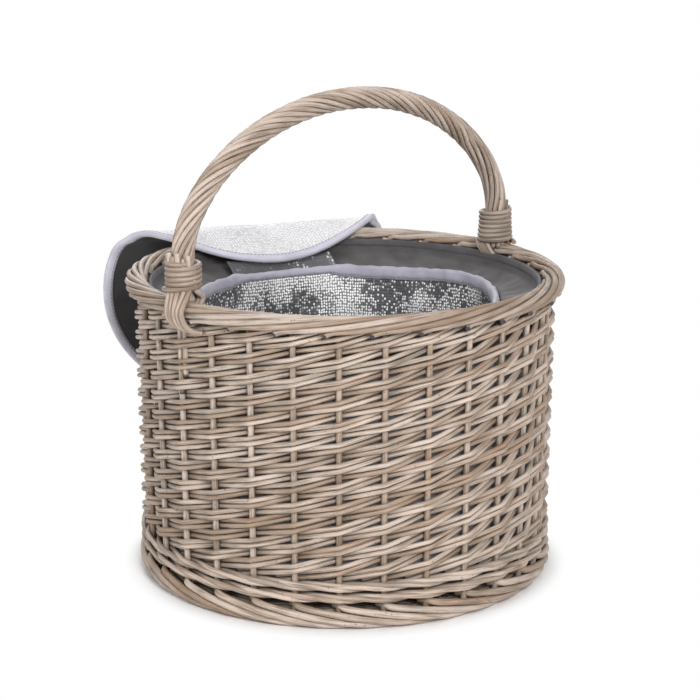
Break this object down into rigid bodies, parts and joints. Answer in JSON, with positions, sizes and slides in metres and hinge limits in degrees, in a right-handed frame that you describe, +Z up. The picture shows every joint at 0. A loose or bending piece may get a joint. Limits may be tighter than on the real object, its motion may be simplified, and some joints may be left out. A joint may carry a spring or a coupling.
{
  "type": "picnic basket",
  "caption": "Round woven willow basket with a fixed hoop handle, an insulated foil lining bag and a soft hinged lid folded back over the rim.",
  "frame": {"origin": "on the basket's axis, at the middle of the woven base's underside, 2 mm above the floor plane that the foot border stands on (z = 0)", "axes": "+Z up along the basket's axis, +X along the lid's hinge, +Y towards the side on which the open lid hangs; the handle stands about 12 degrees round from +X"},
  "size_m": [0.36, 0.3859, 0.3967],
  "materials": {
    "willow": "grey-washed peeled willow rods, satin",
    "foil": "embossed metallised film on thin foam",
    "grey_cloth": "plain woven polyester, matt"
  },
  "bodies": {
    "basket": {"lid_hinge_strip": "foil", "cooler_bag": "foil", "lining_skirt": "grey_cloth", "woven_base": "willow", "foot_border": "willow", "upsett_wale_1": "willow", "upsett_wale_2": "willow", "stake_01": "willow", "stake_02": "willow", "stake_03": "willow", "stake_04": "willow", "stake_05": "willow", "stake_06": "willow", "stake_07": "willow", "stake_08": "willow", "stake_09": "willow", "stake_10": "willow", "stake_11": "willow", "stake_12": "willow", "stake_13": "willow", "stake_14": "willow", "stake_15": "willow", "stake_16": "willow", "stake_17": "willow", "stake_18": "willow", "stake_19": "willow", "stake_20": "willow", "stake_21": "willow", "stake_22": "willow", "stake_23": "willow", "stake_24": "willow", "stake_25": "willow", "stake_26": "willow", "stake_27": "willow", "stake_28": "willow", "stake_29": "willow", "stake_30": "willow", "siding_course_01": "willow", "siding_course_02": "willow", "siding_course_03": "willow", "siding_course_04": "willow", "siding_course_05": "willow", "siding_course_06": "willow", "siding_course_07": "willow", "siding_course_08": "willow", "siding_course_09": "willow", "siding_course_10": "willow", "siding_course_11": "willow", "siding_course_12": "willow", "rim_border": "willow", "handle_bow": "willow", "handle_strand_1": "willow", "handle_strand_2": "willow", "handle_strand_3": "willow", "handle_strand_4": "willow", "handle_strand_5": "willow", "handle_lashing_left": "willow", "handle_lashing_right": "willow"},
    "lid_near": {"lid_near_panel": "foil"},
    "lid_far": {"lid_far_panel": "foil"}
  },
  "joints": [
    {"name": "lid_hinge", "type": "hinge", "parent": "basket", "child": "lid_near", "pos_m": [0, 0.1205, 0.232], "axis": [1, 0, 0], "range_deg": [0, 142]},
    {"name": "lid_fold", "type": "hinge", "parent": "lid_near", "child": "lid_far", "pos_m": [0, 0.1803, 0.25984], "axis": [1, 0, 0], "range_deg": [0, 125]}
  ]
}
